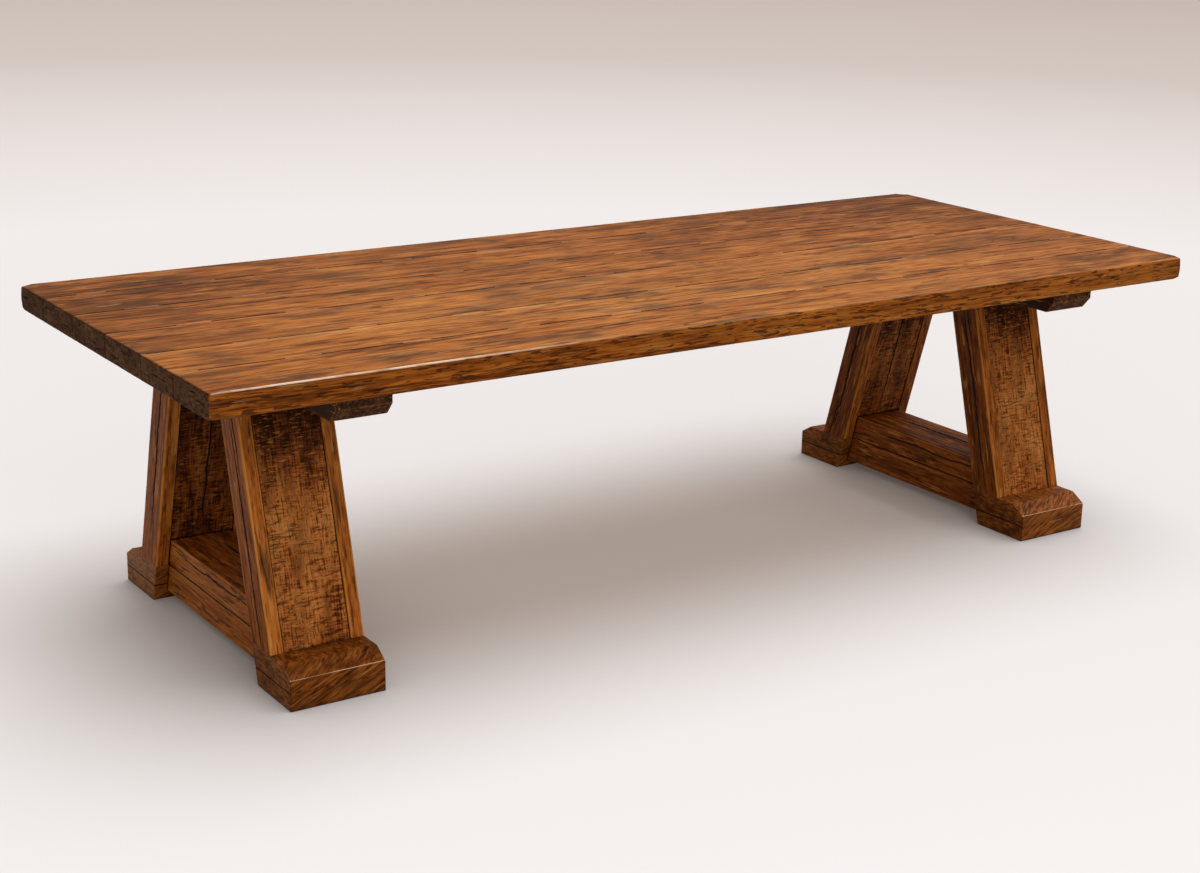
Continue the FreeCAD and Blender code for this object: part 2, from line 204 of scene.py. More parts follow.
def copy_of(blank, name, half_turn, shift):
    """Copies a blank with a mesh of its own, turned half round if asked, and shifts it."""
    pick(blank)
    bpy.ops.object.duplicate(linked=False)
    piece = bpy.context.object
    piece.name = name
    piece.data.name = name
    move(piece, math.pi if half_turn else 0, "Z", shift)
    return piece


def displace(piece, depth, lengths, direction="NORMAL", rest=1.0):
    """Moves the surface in a cloudy pattern with waves of these lengths in X, Y and Z.
    With the rest level at 1 the surface only sinks."""
    farthest = 3
    bpy.ops.object.select_all(action="DESELECT")
    bpy.ops.object.empty_add(location=[random.uniform(-farthest, farthest) for axis in "XYZ"])
    ruler = bpy.context.object
    ruler.scale = lengths
    bpy.context.view_layer.update()
    clouds = bpy.data.textures.new("clouds", "CLOUDS")
    clouds.noise_scale = 1
    clouds.noise_depth = 2
    pick(piece)
    modifier = piece.modifiers.new("displace", "DISPLACE")
    modifier.texture = clouds
    modifier.texture_coords = "OBJECT"
    modifier.texture_coords_object = ruler
    modifier.direction = direction
    modifier.strength = depth
    modifier.mid_level = rest
    bpy.ops.object.modifier_apply(modifier=modifier.name)
    bpy.data.objects.remove(ruler)
    bpy.data.textures.remove(clouds)


def cut_away(piece, cutter):
    """Takes the cutter's shape out of a piece. The cut faces keep the cutter's material."""
    pick(piece)
    modifier = piece.modifiers.new("cut", "BOOLEAN")
    modifier.object = cutter
    modifier.operation = "DIFFERENCE"
    modifier.solver = "MANIFOLD"
    modifier.material_mode = "TRANSFER"
    bpy.ops.object.modifier_apply(modifier=modifier.name)
    bpy.data.objects.remove(cutter)


def split(piece, middle, along, across, length, width, depth):
    """Opens a drying check along the grain, by cutting a thin wandering spindle out of the surface."""
    fewest_rings, ring_step = 24, 4 * MM
    wander_length, wander_swing = 140 * MM, 18 * MM
    fray_length, fray_swing = 14 * MM, width
    # a wave so long that it looks straight
    straight = 40.0
    bpy.ops.object.select_all(action="DESELECT")
    rings = max(fewest_rings, round(length / ring_step))
    bpy.ops.mesh.primitive_uv_sphere_add(segments=4, ring_count=rings, enter_editmode=True)
    spindle = bpy.context.object
    if along is not Z:
        turning_axis = "Y" if along is X else "X"
        bpy.ops.transform.rotate(value=math.pi / 2, orient_axis=turning_axis, center_override=ORIGIN)
    inward = Vector([abs(part) for part in along.cross(across)])
    bpy.ops.transform.resize(value=along * (length / 2) + across * (width / 2) + inward * depth)
    close()
    for wave, swing in ((wander_length, wander_swing), (fray_length, fray_swing)):
        lengths = Vector((straight, straight, straight)) + along * (wave - straight)
        displace(spindle, swing, lengths, direction="XYZ"[list(across).index(1)], rest=0.5)
    spindle.location = middle
    spindle.data.materials.append(CHECK_SHADOW)
    bpy.context.view_layer.update()
    cut_away(piece, spindle)


def paint(piece, along, across, flats, tone, wear_and_highlight):
    """Stores what the materials read. For each point: where it lies along, across and through its board,
    shifted so that no two boards match, and its tone. For each face: how far it is worn and given a painted
    highlight, or below zero dirty, if it turns away from the flats as eased edges do, and whether it shows
    an end or a side."""
    flat_cosine = 0.985
    facing_cosine = 0.75
    farthest = 8
    mesh = piece.data
    axes = np.array([along, across, along.cross(across)])
    places = np.array([vertex.co for vertex in mesh.vertices]) @ axes.T
    places += [random.uniform(0, farthest) for axis in "XYZ"]
    normals = np.array([face.normal for face in mesh.polygons])
    eased = np.abs(normals @ np.array(flats).T).max(axis=1) < flat_cosine
    worn_and_highlit = [wear_and_highlight(face.center, face.normal) if eased[face.index] else 0.0 for face in mesh.polygons]
    facing = np.abs(normals @ axes.T)
    stored = (
        ("grain", "FLOAT_VECTOR", "POINT", "vector", places),
        ("tone", "FLOAT", "POINT", "value", np.array([tone(vertex.co) for vertex in mesh.vertices])),
        ("wear_and_highlight", "FLOAT", "FACE", "value", np.array(worn_and_highlit)),
        ("end_grain", "FLOAT", "FACE", "value", facing[:, 0] > facing_cosine),
        ("side_grain", "FLOAT", "FACE", "value", facing[:, 1] > facing_cosine),
    )
    for name, kind, domain, field, values in stored:
        attribute = mesh.attributes.new(name, kind, domain)
        attribute.data.foreach_set(field, values.astype(np.float32).ravel())


def fit(piece, node):
    """Smooths the shading of a finished piece and puts it in the place of its node."""
    smooth_angle = math.radians(35)
    pick(piece)
    bpy.ops.object.shade_smooth_by_angle(angle=smooth_angle)
    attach(piece, "root")
    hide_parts(node)


# Materials
def linear(colour):
    """Linear red, green and blue, with full alpha, of an sRGB hex colour."""
    parts = [int(colour[i:i + 2], 16) / 255 for i in (1, 3, 5)]
    return [c / 12.92 if c <= 0.04045 else ((c + 0.055) / 1.055) ** 2.4 for c in parts] + [1.0]


def add(tree, kind, inputs, stops=(), **settings):
    """Adds a node with its settings, fills its sockets with values or links to other nodes' outputs, and
    puts the stops on a colour ramp."""
    node = tree.nodes.new("ShaderNode" + kind)
    for name, value in settings.items():
        setattr(node, name, value)
    for socket, value in inputs.items():
        if isinstance(value, bpy.types.NodeSocket):
            tree.links.new(value, node.inputs[socket])
        else:
            node.inputs[socket].default_value = value
    for i, (place, colour) in enumerate(stops):
        ramp = node.color_ramp.elements
        stop = ramp[i] if i < len(ramp) else ramp.new(1.0)
        stop.position = place
        stop.color = linear(colour)
    return node.outputs


# Sockets of a mix of two colours, and the middle value of a noise pattern
FACTOR, UNDER, OVER, MIXED = 0, 6, 7, 2
MIDDLE = 0.5


def new_material(name):
    material = bpy.data.materials.new(name)
    material.use_nodes = True
    material.node_tree.nodes.clear()
    return material, material.node_tree


def clouds_along(tree, grain, waves, detail):
    """Cloudy pattern with waves of these lengths, in millimetres, along, across and through the board."""
    scale = [1 / (wave * MM) for wave in waves]
    stretched = add(tree, "Mapping", {"Vector": grain, "Scale": scale})[0]
    return add(tree, "TexNoise", {"Vector": stretched, "Scale": 1.0, "Detail": detail})[0]


# Marks on the wood: where the cloudy pattern passes from low to high they reach their full strength.
# Lines follow the contours of the pattern instead. Rise lifts or sinks the surface. Feather frays the marks
# along the streaks. On the sides of a board their strength is multiplied by the last value.
MARK_FIELDS = "waves low high strength tint rise feather lines on_sides"
Marks = namedtuple("Marks", MARK_FIELDS, defaults=(0.0, 0.0, False, 1.0))
# Growth rings: the waves of the pattern that they are the contours of, their count and their contrast
Rings = namedtuple("Rings", "waves count contrast")
# How the sides of a board differ: contrast, lightness and stain
Sides = namedtuple("Sides", "contrast lightness stain")

# End grain soaks up the stain and greys with dirt
END_TONES = [(0.2, "#332116"), (0.5, "#543b2a"), (0.8, "#735640")]
END_ROUGHNESS = 0.4
# Old dirt is nearly black, and this colour darkens the wood as dirt and painted shade where a surface is
# this near to another
DIRT_AND_SHADE = "#120803"
DIRT_AND_SHADE_REACH = 7 * MM
# Edges are rubbed and given painted highlights in patches of this size, in millimetres
WEAR_AND_HIGHLIGHT_PATCHES = (60, 25, 25)


def oak(name, tones, drift, rings, streaks, sides, marks, end_cover, wear_and_highlight_tint, roughness, shine, relief):
    """Stained oak: rings and streaks along the grain with marks over them, dull end grain, worn edges with
    painted highlights, dirty joints, and painted shade where surfaces are near each other. Drift and relief
    are in millimetres."""
    material, tree = new_material(name)
    grain = add(tree, "Attribute", {}, attribute_name="grain")["Vector"]
    tone = add(tree, "Attribute", {}, attribute_name="tone")["Fac"]
    wear_and_highlight = add(tree, "Attribute", {}, attribute_name="wear_and_highlight")["Fac"]
    end = add(tree, "Attribute", {}, attribute_name="end_grain")["Fac"]
    side = add(tree, "Attribute", {}, attribute_name="side_grain")["Fac"]
    # the grain drifts sideways, about three times in a metre
    sway = add(tree, "TexNoise", {"Vector": grain, "Scale": 3.0, "Detail": 2.0})["Color"]
    sway = add(tree, "VectorMath", {0: sway, 1: (MIDDLE, MIDDLE, MIDDLE)}, operation="SUBTRACT")[0]
    sway = add(tree, "VectorMath", {0: sway, 1: (0.0, drift * MM, drift * MM)}, operation="MULTIPLY")[0]
    grain = add(tree, "VectorMath", {0: grain, 1: sway}, operation="ADD")[0]
    # lightness, from the board's tone, growth rings and streaks, with another contrast on the sides
    ring = clouds_along(tree, grain, rings.waves, 2.0)
    ring = add(tree, "Math", {0: ring, 1: rings.count * math.tau}, operation="MULTIPLY")[0]
    ring = add(tree, "Math", {0: ring}, operation="SINE")[0]
    pattern = add(tree, "Math", {0: ring, 1: rings.contrast}, operation="MULTIPLY")[0]
    for waves, weight in streaks:
        streak = clouds_along(tree, grain, waves, 3.0)
        streak = add(tree, "Math", {0: streak, 1: MIDDLE}, operation="SUBTRACT")[0]
        pattern = add(tree, "Math", {0: streak, 1: weight, 2: pattern}, operation="MULTIPLY_ADD")[0]
    contrast = add(tree, "MapRange", {"Value": side, "To Min": 1.0, "To Max": sides.contrast})[0]
    light = add(tree, "Math", {0: side, 1: sides.lightness, 2: tone}, operation="MULTIPLY_ADD")[0]
    light = add(tree, "Math", {0: pattern, 1: contrast, 2: light}, operation="MULTIPLY_ADD")[0]
    colour = add(tree, "ValToRGB", {0: light}, tones)[0]
    stained = {FACTOR: side, UNDER: colour, OVER: linear(sides.stain)}
    colour = add(tree, "Mix", stained, data_type="RGBA", blend_type="MULTIPLY")[MIXED]
    height = light
    for mark in marks:
        cover = clouds_along(tree, grain, mark.waves, 0.5 if mark.lines else 2.0)
        cover = add(tree, "Math", {0: pattern, 1: mark.feather, 2: cover}, operation="MULTIPLY_ADD")[0]
        if mark.lines:
            cover = add(tree, "Math", {0: cover, 1: MIDDLE}, operation="SUBTRACT")[0]
            cover = add(tree, "Math", {0: cover}, operation="ABSOLUTE")[0]
        cover = add(tree, "MapRange", {
            "Value": cover, "From Min": mark.low, "From Max": mark.high, "To Max": mark.strength,
        })[0]
        side_strength = add(tree, "MapRange", {"Value": side, "To Min": 1.0, "To Max": mark.on_sides})[0]
        cover = add(tree, "Math", {0: cover, 1: side_strength}, operation="MULTIPLY", use_clamp=True)[0]
        marked = {FACTOR: cover, UNDER: colour, OVER: linear(mark.tint)}
        colour = add(tree, "Mix", marked, data_type="RGBA")[MIXED]
        height = add(tree, "Math", {0: cover, 1: mark.rise, 2: height}, operation="MULTIPLY_ADD")[0]
    # end grain
    pores = add(tree, "Math", {0: pattern, 1: MIDDLE}, operation="ADD")[0]
    dull = add(tree, "ValToRGB", {0: pores}, END_TONES)[0]
    covered = add(tree, "Math", {0: end, 1: end_cover}, operation="MULTIPLY")[0]
    colour = add(tree, "Mix", {FACTOR: covered, UNDER: colour, OVER: dull}, data_type="RGBA")[MIXED]
    # worn edges with painted highlights, and dirt on edges and in the joints
    patches = clouds_along(tree, grain, WEAR_AND_HIGHLIGHT_PATCHES, 2.0)
    patches = add(tree, "MapRange", {
        "Value": patches, "From Min": 0.35, "From Max": 0.55, "To Min": 0.4, "To Max": 1.0,
    })[0]
    rubbed_and_highlit = add(tree, "Math", {0: wear_and_highlight, 1: patches}, operation="MULTIPLY", use_clamp=True)[0]
    # edges paler from wear and a painted highlight
    worn_and_highlit = {FACTOR: rubbed_and_highlit, UNDER: colour, OVER: linear(wear_and_highlight_tint)}
    colour = add(tree, "Mix", worn_and_highlit, data_type="RGBA")[MIXED]
    dirty_edge = add(tree, "Math", {0: wear_and_highlight, 1: -1.0}, operation="MULTIPLY", use_clamp=True)[0]
    # dirt and painted shade, darkest where another surface is nearest
    occlusion_for_shade = add(tree, "AmbientOcclusion", {"Distance": DIRT_AND_SHADE_REACH}, samples=6)["AO"]
    dirt_and_shade = add(tree, "MapRange", {"Value": occlusion_for_shade, "From Min": 0.8, "From Max": 0.4, "To Max": 0.95})[0]
    dirt_and_shade = add(tree, "Math", {0: dirt_and_shade, 1: dirty_edge}, operation="MAXIMUM")[0]
    colour = add(tree, "Mix", {FACTOR: dirt_and_shade, UNDER: colour, OVER: linear(DIRT_AND_SHADE)}, data_type="RGBA")[MIXED]
    # open grain, and a finish that is glossiest where the wood is pale
    normal = add(tree, "Bump", {"Height": height, "Strength": 1.0, "Distance": relief * MM})[0]
    glossiest, dullest = roughness
    rough = add(tree, "MapRange", {
        "Value": light, "From Min": 0.2, "From Max": 0.8, "To Min": dullest, "To Max": glossiest,
    })[0]
    dulled = {0: end, 1: END_ROUGHNESS * end_cover, 2: rough}
    rough = add(tree, "Math", dulled, operation="MULTIPLY_ADD", use_clamp=True)[0]
    shader = add(tree, "BsdfPrincipled", {
        "Base Color": colour, "Roughness": rough, "Normal": normal, "Specular IOR Level": shine,
    })[0]
    add(tree, "OutputMaterial", {0: shader})
    return material


def plain_finish(name, waves, stops, metallic, roughness):
    """Finish with one cloudy pattern, in place on the piece, that changes the colour and the gloss."""
    material, tree = new_material(name)
    place = add(tree, "TexCoord", {})["Object"]
    clouds = clouds_along(tree, place, waves, 3.0)
    colour = add(tree, "ValToRGB", {0: clouds}, stops)[0]
    glossiest, dullest = roughness
    rough = add(tree, "MapRange", {
        "Value": clouds, "From Min": 0.3, "From Max": 0.7, "To Min": glossiest, "To Max": dullest,
    })[0]
    shader = add(tree, "BsdfPrincipled", {
        "Base Color": colour, "Roughness": rough, "Metallic": metallic,
    })[0]
    add(tree, "OutputMaterial", {0: shader})
    return material


# The inside of a drying check or a bore is dark and dull, with browner patches
CHECK_SHADOW = plain_finish(
    "check_shadow_oak", waves=(8, 8, 8), stops=[(0.3, "#0c0603"), (0.7, "#2a1508")],
    metallic=0.0, roughness=(0.85, 0.95),
)
# Zinc plate on steel gives a pale grey with faint cloudy spangle
ZINC_STEEL = plain_finish(
    "zinc_plated_steel", waves=(3, 3, 3), stops=[(0.3, "#989ca0"), (0.7, "#c4c7c9")],
    metallic=1.0, roughness=(0.28, 0.45),
)
# Birch is pale and fine, with a faint streak along the tongue
BIRCH = plain_finish(
    "birch", waves=(120, 6, 4), stops=[(0.3, "#c8a574"), (0.7, "#e3c89c")],
    metallic=0.0, roughness=(0.5, 0.65),
)

# Stops run from the late wood, darkened by the stain, to the early wood
TOP_TONES = [(0.0, "#2e190b"), (0.3, "#764017"), (0.5, "#a86023"), (0.7, "#be7632"), (1.0, "#da944e")]
FOOT_TONES = [(0.0, "#2e1506"), (0.3, "#763b0e"), (0.5, "#a55d23"), (0.7, "#bb7434"), (1.0, "#d79351")]
TRESTLE_TONES = [(0.0, "#361906"), (0.3, "#8a4515"), (0.5, "#bd6622"), (0.7, "#d67e31"), (1.0, "#eea457")]
PANEL_TONES = [(0.0, "#361908"), (0.3, "#8d481b"), (0.5, "#c06a2c"), (0.7, "#d8833c"), (1.0, "#e99b50")]
UNSTAINED = "#ffffff"
# In all four kinds of oak the grain is drawn coarser than the real one, which would be too fine to show.
# Planed oak gives a warm satin brown with long streaks, soft dark smudges and dashes of open grain.
PLANED_OAK = oak(
    "planed_oak",
    tones=TOP_TONES,
    drift=14,
    rings=Rings((900, 110, 45), 5, 0.03),
    streaks=[((700, 80, 30), 0.5), ((360, 26, 14), 0.6), ((180, 14, 6), 0.75), ((70, 11, 5), 0.9)],
    sides=Sides(1.3, -0.01, "#ffebc2"),
    marks=[
        Marks((260, 75, 40), 0.53, 0.71, 0.8, "#432713", feather=0.6, on_sides=0.3),
        Marks((130, 12, 5), 0.60, 0.66, 0.8, "#341808", rise=-0.6),
        Marks((34, 40, 4.5), 0.57, 0.63, 0.04, "#2c1306", rise=-0.4, feather=0.2, on_sides=20.0),
        Marks((130, 12, 5), 0.62, 0.69, 0.5, "#e09a55", rise=0.3),
        Marks((900, 44, 10), 0.02, 0.0, 0.7, "#361a09", rise=-0.4, feather=0.1, lines=True),
        Marks((320, 30, 10), 0.04, 0.0, 0.6, "#3a1e0c", rise=-0.4, feather=0.2, lines=True, on_sides=0.5),
    ],
    end_cover=0.82,
    wear_and_highlight_tint="#f2d6ba",
    roughness=(0.40, 0.52),
    shine=0.045,
    relief=0.25,
)
# Trestle oak is the same wood, less polished, with orange arrises that are partly worn and partly painted
# highlights.
TRESTLE_OAK = oak(
    "trestle_oak",
    tones=TRESTLE_TONES,
    drift=8,
    rings=Rings((500, 70, 50), 6, 0.04),
    streaks=[((400, 24, 22), 0.6), ((220, 10, 10), 0.7), ((90, 7, 7), 0.8), ((25, 7, 7), 0.5)],
    # its sides are drawn darker than its fronts, as painted shade
    sides=Sides(0.72, -0.18, UNSTAINED),
    marks=[
        Marks((130, 30, 30), 0.56, 0.72, 0.7, "#3a1c09", feather=0.5, on_sides=0.5),
        Marks((60, 8, 8), 0.59, 0.66, 0.7, "#2a1206", rise=-0.6),
        Marks((80, 8, 8), 0.61, 0.70, 0.6, "#ea9f4c", rise=0.3),
        Marks((520, 20, 20), 0.025, 0.0, 0.7, "#2a1206", rise=-0.4, feather=0.1, lines=True),
    ],
    end_cover=0.45,
    wear_and_highlight_tint="#f49c44",
    roughness=(0.44, 0.58),
    shine=0.075,
    relief=0.25,
)
# Foot oak is planed and darker, scuffed by shoes and brooms, with a wavy grain that shows on all sides.
FOOT_OAK = oak(
    "foot_oak",
    tones=FOOT_TONES,
    drift=20,
    rings=Rings((260, 60, 26), 6, 0.04),
    streaks=[((150, 50, 14), 0.4), ((60, 30, 5), 0.65), ((30, 20, 4), 0.8)],
    sides=Sides(1.3, 0.0, UNSTAINED),
    marks=[
        Marks((140, 45, 30), 0.55, 0.76, 0.8, "#2e1506", feather=0.4),
        Marks((40, 24, 4), 0.59, 0.67, 0.7, "#281105", rise=-0.6),
        Marks((34, 22, 4), 0.61, 0.70, 0.4, "#c0752f", rise=0.3),
        Marks((110, 42, 10), 0.025, 0.0, 0.5, "#281105", rise=-0.4, feather=0.1, lines=True),
    ],
    end_cover=0.0,
    wear_and_highlight_tint="#f0cda6",
    roughness=(0.36, 0.52),
    shine=0.06,
    relief=0.2,
)
# Sawn oak gives a mottled, cross-hatched surface: torn fibres up the board and saw marks across it.
SAWN_OAK = oak(
    "sawn_oak",
    tones=PANEL_TONES,
    drift=10,
    rings=Rings((300, 80, 50), 3, 0.03),
    streaks=[((120, 36, 24), 0.9), ((4.5, 34, 12), 1.5), ((48, 4.5, 6), 1.4), ((8, 7, 7), 0.3)],
    sides=Sides(1.0, 0.0, UNSTAINED),
    marks=[
        Marks((160, 45, 40), 0.50, 0.72, 0.6, "#3a1a08", feather=0.5),
        # the dark lines and strokes sunk into the surface and the pale strokes raised from it are partly
        # the wood's colour and partly painted shade and painted highlight on the saw marks
        Marks((14, 10, 10), 0.04, 0.0, 0.3, "#341707", rise=-0.5, lines=True),
        Marks((36, 5, 5), 0.57, 0.65, 0.65, "#2c1306", rise=-0.6),
        Marks((5, 34, 10), 0.56, 0.64, 0.65, "#2c1306", rise=-0.6),
        Marks((5, 24, 8), 0.60, 0.68, 0.5, "#e08c3e", rise=0.4),
    ],
    end_cover=0.98,
    wear_and_highlight_tint="#f49c44",
    roughness=(0.5, 0.7),
    shine=0.06,
    relief=0.5,
)

# Tabletop, palest in the front boards
BOARD_TONES = (0.53, 0.60, 0.53, 0.44, 0.40, 0.38)
# All boards are paler between their ends, by these tones at these places along X
ALONG_X_PLACES = (-1.4, -1.0, -0.6, 0.1, 0.6, 1.4)
ALONG_X_TONES = (-0.06, 0.02, 0.09, 0.08, 0.04, -0.08)
# The front edge is palest near its right end, and darker in its last stretch, as painted shade at the
# corner
FRONT_EDGE_TONES = (-0.09, 0.15, -0.08)
PALEST_FROM_RIGHT = 60 * MM
# A knock at a corner, in X, Y and Z
KNOCK = (1.1 * MM, 1.1 * MM, 2.75 * MM)
SLIGHT_KNOCK = (0.3 * MM, 0.3 * MM, 0.75 * MM)
KNOCK_REACH = 20 * MM
CHECKS_PER_END = 2
CHECK_MARGIN_Y, CHECK_MARGIN_Z = 40 * MM, 14 * MM
JOINT_DIRT, JOINT_END_DIRT, JOINT_HIGHLIGHT = -0.95, -0.45, 0.2
# A joint gets a painted highlight where it faces the front and up, in stretches set by a wave along X, in
# radians a metre
HIGHLIGHT_COSINE = 0.8
HIGHLIGHT_WAVE, HIGHLIGHT_LEVEL = 23, 0.6
END_EDGE_DIRT = -0.6
# The front arris is rubbed pale and given a painted highlight on the left, less and less between these
# places along X
FRONT_ARRIS_PLACES, FRONT_ARRIS_WEAR_AND_HIGHLIGHT = (-0.9, -0.4), (0.9, 0.1)


def knock_in_corners(number, low, high, outer):
    """Knocks in the four corners on the outer edge of a board."""
    middle = (low + high) / 2
    for x in (low.x, high.x):
        for z in (low.z, high.z):
            corner = Vector((x, outer, z))
            # the near left corner has stayed crisp
            knock = SLIGHT_KNOCK if number == 1 and x < 0 else KNOCK
            push = Vector([math.copysign(part, way) for part, way in zip(knock, middle - corner)])
            knock_in(corner, push, KNOCK_REACH)


def make_top_board(number):
    node = f"top_board_{number}"
    low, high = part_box(node)
    outer = {1: low.y, BOARD_COUNT: high.y}.get(number)
    joints = [y for y in (low.y, high.y) if y != outer]
    board_tone = BOARD_TONES[number - 1]

    def at_joint(point):
        return any(abs(point.y - y) < EDGE_REACH for y in joints)

    board = new_block(f"{node}_oak", low, high)
    board.data.materials.append(PLANED_OAK)
    if outer is not None:
        ease(TOP_CORNER_RADIUS, 5, lambda middle, run: upright(run) and not at_joint(middle))
    ease(JOINT_BEVEL, 2, lambda middle, run: at_joint(middle))
    ease(TOP_ARRIS, 3, lambda middle, run: not at_joint(middle))
    score(X, BOARD_STEP)
    score(Y, BOARD_STEP)
    score(Z, BOARD_EDGE_STEP)
    if outer is not None:
        knock_in_corners(number, low, high, outer)
    close()
    displace(board, *TOP_WAVES)
    for end in (low.x, high.x):
        for check in range(CHECKS_PER_END):
            y = random.uniform(low.y + CHECK_MARGIN_Y, high.y - CHECK_MARGIN_Y)
            z = random.uniform(low.z + CHECK_MARGIN_Z, high.z - CHECK_MARGIN_Z)
            split(board, Vector((end, y, z)), Y, Z, random.uniform(*END_CHECK_LENGTHS), *END_CHECK_SECTION)

    def tone(point):
        if number == 1 and point.y < low.y + FLUSH:
            places = (low.x, high.x - PALEST_FROM_RIGHT, high.x)
            return board_tone + np.interp(point.x, places, FRONT_EDGE_TONES)
        return board_tone + np.interp(point.x, ALONG_X_PLACES, ALONG_X_TONES)

    def wear_and_highlight(point, normal):
        """Joints are dirty, except for stretches facing the front and up that get a painted highlight. The
        edges of the ends are dirty too.
        """
        at_end = abs(point.x) > high.x - EDGE_REACH
        if at_joint(point):
            catches_light = normal.y < 0 and normal.z > HIGHLIGHT_COSINE
            highlighted = catches_light and math.sin(HIGHLIGHT_WAVE * point.x + number) > HIGHLIGHT_LEVEL
            return JOINT_END_DIRT if at_end else JOINT_HIGHLIGHT if highlighted else JOINT_DIRT
        if point.z < high.z - EDGE_REACH:
            return 0.0
        # the front arris: wear and a painted highlight, fading towards the right
        if number == 1 and point.y < low.y + EDGE_REACH and not at_end:
            return np.interp(point.x, FRONT_ARRIS_PLACES, FRONT_ARRIS_WEAR_AND_HIGHLIGHT)
        return END_EDGE_DIRT if at_end else 0.0

    paint(board, X, Y, (X, Y, Z), tone, wear_and_highlight)
    fit(board, node)


for number in range(1, BOARD_COUNT + 1):
    make_top_board(number)

# Legs, built upright with Y outwards from the outer face, and then leaned over
LEG_SPARE = 60 * MM
NOTCH_SPARE = 1 * MM
# Shares of a stile's depth and length between which its long check lies, and how far off the short one is
LONG_CHECK_PLACES = (0.42, 0.55)
SHORT_CHECK_ASIDE, SHORT_CHECK_ALONG = 12 * MM, 210 * MM
STILE_TONES = (0.57, 0.63)
# The right trestle's stiles are darker, as painted shade under the table
RIGHT_STILE_SHADE = -0.15
# Stile arrises are worn and given painted highlights, the outer ones most, and on the right trestle less,
# as it is in shade
OUTER_ARRIS_WEAR_AND_HIGHLIGHT, INNER_ARRIS_WEAR_AND_HIGHLIGHT = 0.8, 0.4
RIGHT_TRESTLE_HIGHLIGHT_SHARE = 0.6
# Panels are palest at half height and darkest near the top, as painted shade under the tabletop
PANEL_HEIGHTS = (0.10, 0.36, 0.50, 0.60, 0.68)
PANEL_LIGHT_AND_SHADE_UP = (0.50, 0.70, 0.35, -0.04, -0.16)
# Inner panels are darker, as painted shade inside the trestle
INNER_PANEL_SHADE = -0.28
RIGHT_PANEL_TONE = 0.05


def leg_blank(name, width, inner, outer):
    """Blank for a leg piece between two depths from the leg's outer face, too long at both ends."""
    low = Vector((-width / 2, -inner, -LEG_SPARE))
    high = Vector((width / 2, -outer, LEG_LENGTH + LEG_SPARE))
    return new_block(name, low, high)


def make_leg_blanks():
    stile = leg_blank("stile_blank", STILE_WIDTH, LEG_DEPTH, 0)
    stile.data.materials.append(TRESTLE_OAK)
    ease(STILE_ARRIS, 3)
    score(Z, STILE_LENGTH_STEP)
    score(X, STILE_STEP)
    score(Y, STILE_STEP)
    close()
    panel_width = LEG_HIGH - LEG_LOW - 2 * STILE_WIDTH
    panel = leg_blank("panel_blank", panel_width, LEG_DEPTH / 2, PANEL_RECESS)
    panel.data.materials.append(SAWN_OAK)
    ease(PANEL_ARRIS, 2, lambda middle, run: upright(run))
    score(Z, PANEL_STEP)
    score(X, PANEL_STEP)
    close()
    return stile, panel


def stand_leg(piece, facing, top):
    """Leans an upright leg piece over, sets it on its foot and saws its ends level."""
    move(piece, facing * LEG_LEAN, "X", Vector((0, facing * LEG_SPREAD, FOOT_TOP)))
    bpy.ops.object.mode_set(mode="EDIT")
    saw(Z * FOOT_TOP, -Z)
    saw(Z * top, Z)
    close()


def leg_axis(facing):
    """Direction up a leg."""
    return Vector((0, -facing * math.sin(LEG_LEAN), math.cos(LEG_LEAN)))


def leg_normal(facing):
    """Direction out of a leg's outer face."""
    return Vector((0, facing * math.cos(LEG_LEAN), math.sin(LEG_LEAN)))


def make_stile(blank, leg, position, side, facing):
    node = f"{leg}_{position}"
    outwards = side if position == "outboard_stile" else -side
    x = side * TRESTLE_X + outwards * (LEG_HIGH - LEG_LOW - STILE_WIDTH) / 2
    face_x = x + outwards * STILE_WIDTH / 2
    stile = copy_of(blank, f"{node}_oak", facing < 0, X * x)
    displace(stile, *STILE_WAVES)
    # a long check down the middle of the outer side, and a short one beside its end
    y = -facing * random.uniform(*LONG_CHECK_PLACES) * LEG_DEPTH
    middle = Vector((face_x, y, random.uniform(*LONG_CHECK_PLACES) * LEG_LENGTH))
    split(stile, middle, Z, Y, random.uniform(*LONG_CHECK_LENGTHS), *LONG_CHECK_SECTION)
    middle += Vector((0, facing * SHORT_CHECK_ASIDE, random.choice((-1, 1)) * SHORT_CHECK_ALONG))
    split(stile, middle, Z, Y, random.uniform(*SHORT_CHECK_LENGTHS), *SHORT_CHECK_SECTION)
    stand_leg(stile, facing, TOP_UNDERSIDE if position == "outboard_stile" else BEARER_UNDERSIDE)

    def wear_and_highlight(point, normal):
        on_outer_side = abs(point.x - face_x) < STILE_EDGE_REACH
        worn_and_highlit = OUTER_ARRIS_WEAR_AND_HIGHLIGHT if on_outer_side else INNER_ARRIS_WEAR_AND_HIGHLIGHT
        return worn_and_highlit if side < 0 else worn_and_highlit * RIGHT_TRESTLE_HIGHLIGHT_SHARE

    flats = (X, leg_axis(facing), leg_normal(facing), Z)
    stile_tone = random.uniform(*STILE_TONES) + (RIGHT_STILE_SHADE if side > 0 else 0)
    paint(stile, leg_axis(facing), X, flats, lambda point: stile_tone, wear_and_highlight)
    fit(stile, node)


